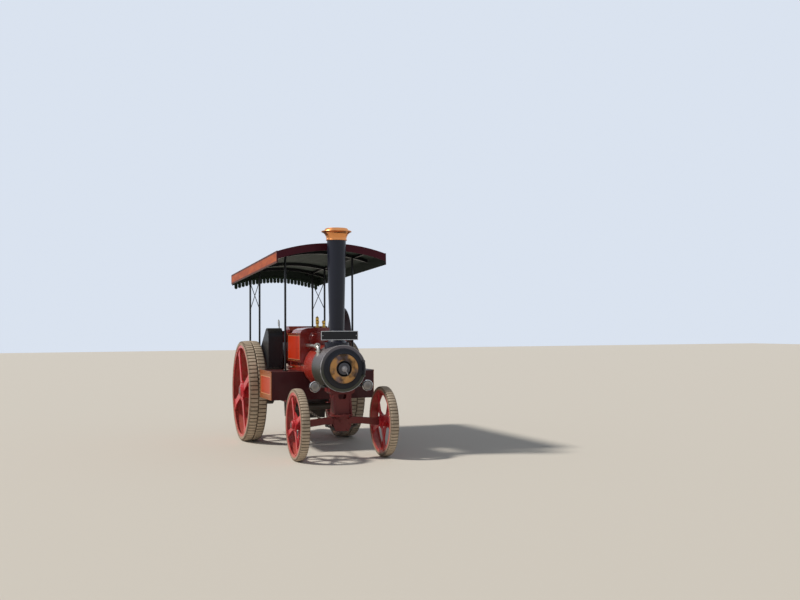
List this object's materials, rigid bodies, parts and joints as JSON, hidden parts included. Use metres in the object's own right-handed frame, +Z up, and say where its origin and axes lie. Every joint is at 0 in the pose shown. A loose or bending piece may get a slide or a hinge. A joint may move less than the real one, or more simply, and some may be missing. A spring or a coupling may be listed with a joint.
{
  "type": "steam traction engine",
  "caption": "Full-size steam tractor with a long arched canopy, a copper-capped chimney, a water tank under the boiler, rubber-tyred spoked wheels and chain steering.",
  "frame": {"origin": "centre of the overall box, on the ground that the tyres stand on", "axes": "+Z up, the engine faces -Y, +X is its left side"},
  "size_m": [1.77, 4.3315, 2.99],
  "materials": {
    "boiler_red": "gloss red enamel",
    "smokebox_black": "matt heat-proof black, dusty",
    "door_black": "satin black",
    "chimney_black": "satin black",
    "copper": "polished copper",
    "plate_black": "gloss black, blank",
    "lamp_metal": "polished metal rim with a glass front",
    "chassis_red": "dark red enamel",
    "iron_black": "bare black iron",
    "cladding_red": "lined red enamel",
    "brass": "polished brass",
    "bright_steel": "oiled bright steel",
    "case_black": "satin black",
    "tank_red": "lined red enamel",
    "tender_red": "lined red enamel",
    "wheel_red": "red enamel, dusty",
    "tyre_rubber": "grey rubber covered in pale dust",
    "canopy_board": "dark boards and canvas",
    "valance_red": "lined red enamel",
    "fringe_green": "dark green scalloped cloth",
    "post_black": "gloss black",
    "chain_steel": "oily steel"
  },
  "bodies": {
    "engine": {"boiler_barrel": "boiler_red", "smokebox": "smokebox_black", "chimney_barrel": "chimney_black", "chimney_cap": "copper", "front_plate": "plate_black", "head_lamps": "lamp_metal", "perch_bracket": "chassis_red", "firebox": "boiler_red", "ashpan": "iron_black", "hornplates": "chassis_red", "cylinder_block": "cladding_red", "safety_valves": "brass", "piston_guides": "bright_steel", "crank_cover": "cladding_red", "gear_case": "case_black", "exhaust_pipe": "bright_steel", "belly_tank": "tank_red", "tender": "tender_red", "drawbar": "iron_black", "rear_axle": "bright_steel", "canopy_roof": "canopy_board", "canopy_valance": "valance_red", "canopy_fringe": "fringe_green", "canopy_frame": "post_black", "chain_hangers": "iron_black", "steering_column": "chassis_red", "driver_controls": "bright_steel", "boiler_fittings": "brass"},
    "forecarriage": {"axle_beam": "chassis_red", "front_spring": "iron_black"},
    "front_wheel_l": {"front_wheel_left": "wheel_red", "front_tyre_left": "tyre_rubber"},
    "front_wheel_r": {"front_wheel_right": "wheel_red", "front_tyre_right": "tyre_rubber"},
    "rear_wheel_l": {"rear_wheel_left": "wheel_red", "rear_tyre_left": "tyre_rubber"},
    "rear_wheel_r": {"rear_wheel_right": "wheel_red", "rear_tyre_right": "tyre_rubber"},
    "smokebox_door_body": {"smokebox_door": "door_black"},
    "fire_door_body": {"fire_door": "iron_black"},
    "crank": {"crankshaft": "bright_steel", "flywheel": "wheel_red"},
    "winding_barrel": {"chain_barrel": "chain_steel"},
    "left_chain": {"chain_left": "chain_steel"},
    "right_chain": {"chain_right": "chain_steel"}
  },
  "joints": [
    {"name": "steering", "type": "hinge", "parent": "engine", "child": "forecarriage", "pos_m": [0, -1.70776, 0.492], "axis": [0, 0, 1], "range_deg": [-27, 27]},
    {"name": "front_left_wheel", "type": "hinge", "parent": "forecarriage", "child": "front_wheel_l", "pos_m": [0.578, -1.70776, 0.458], "axis": [1, 0, 0], "continuous": true},
    {"name": "front_right_wheel", "type": "hinge", "parent": "forecarriage", "child": "front_wheel_r", "pos_m": [-0.578, -1.70776, 0.458], "axis": [1, 0, 0], "continuous": true},
    {"name": "rear_left_wheel", "type": "hinge", "parent": "engine", "child": "rear_wheel_l", "pos_m": [0.738, 0.69724, 0.748], "axis": [1, 0, 0], "continuous": true},
    {"name": "rear_right_wheel", "type": "hinge", "parent": "engine", "child": "rear_wheel_r", "pos_m": [-0.738, 0.69724, 0.748], "axis": [1, 0, 0], "continuous": true},
    {"name": "smokebox_door_hinge", "type": "hinge", "parent": "engine", "child": "smokebox_door_body", "pos_m": [0.27, -1.82676, 1.16], "axis": [0, 0, 1], "range_deg": [0, 110]},
    {"name": "fire_door_hinge", "type": "hinge", "parent": "engine", "child": "fire_door_body", "pos_m": [0.168, 0.51624, 0.89], "axis": [0, 0, -1], "range_deg": [0, 100]},
    {"name": "crank_turn", "type": "hinge", "parent": "engine", "child": "crank", "pos_m": [0, 0.09224, 1.56], "axis": [1, 0, 0], "continuous": true},
    {"name": "barrel_turn", "type": "hinge", "parent": "engine", "child": "winding_barrel", "pos_m": [0, -0.22776, 0.55478], "axis": [1, 0, 0], "range_deg": [-105, 105]},
    {"name": "left_chain_pull", "type": "slide", "parent": "engine", "child": "left_chain", "axis": [0, 1, 0], "range_m": [-0.112, 0.112]},
    {"name": "right_chain_pull", "type": "slide", "parent": "engine", "child": "right_chain", "axis": [0, 0.996, 0.0888], "range_m": [-0.112, 0.112]}
  ],
  "couplings": [
    {"joint": "barrel_turn", "follows": "steering", "ratio": 3.693},
    {"joint": "left_chain_pull", "follows": "steering", "m_per_rad": 0.23},
    {"joint": "right_chain_pull", "follows": "steering", "m_per_rad": -0.23}
  ]
}
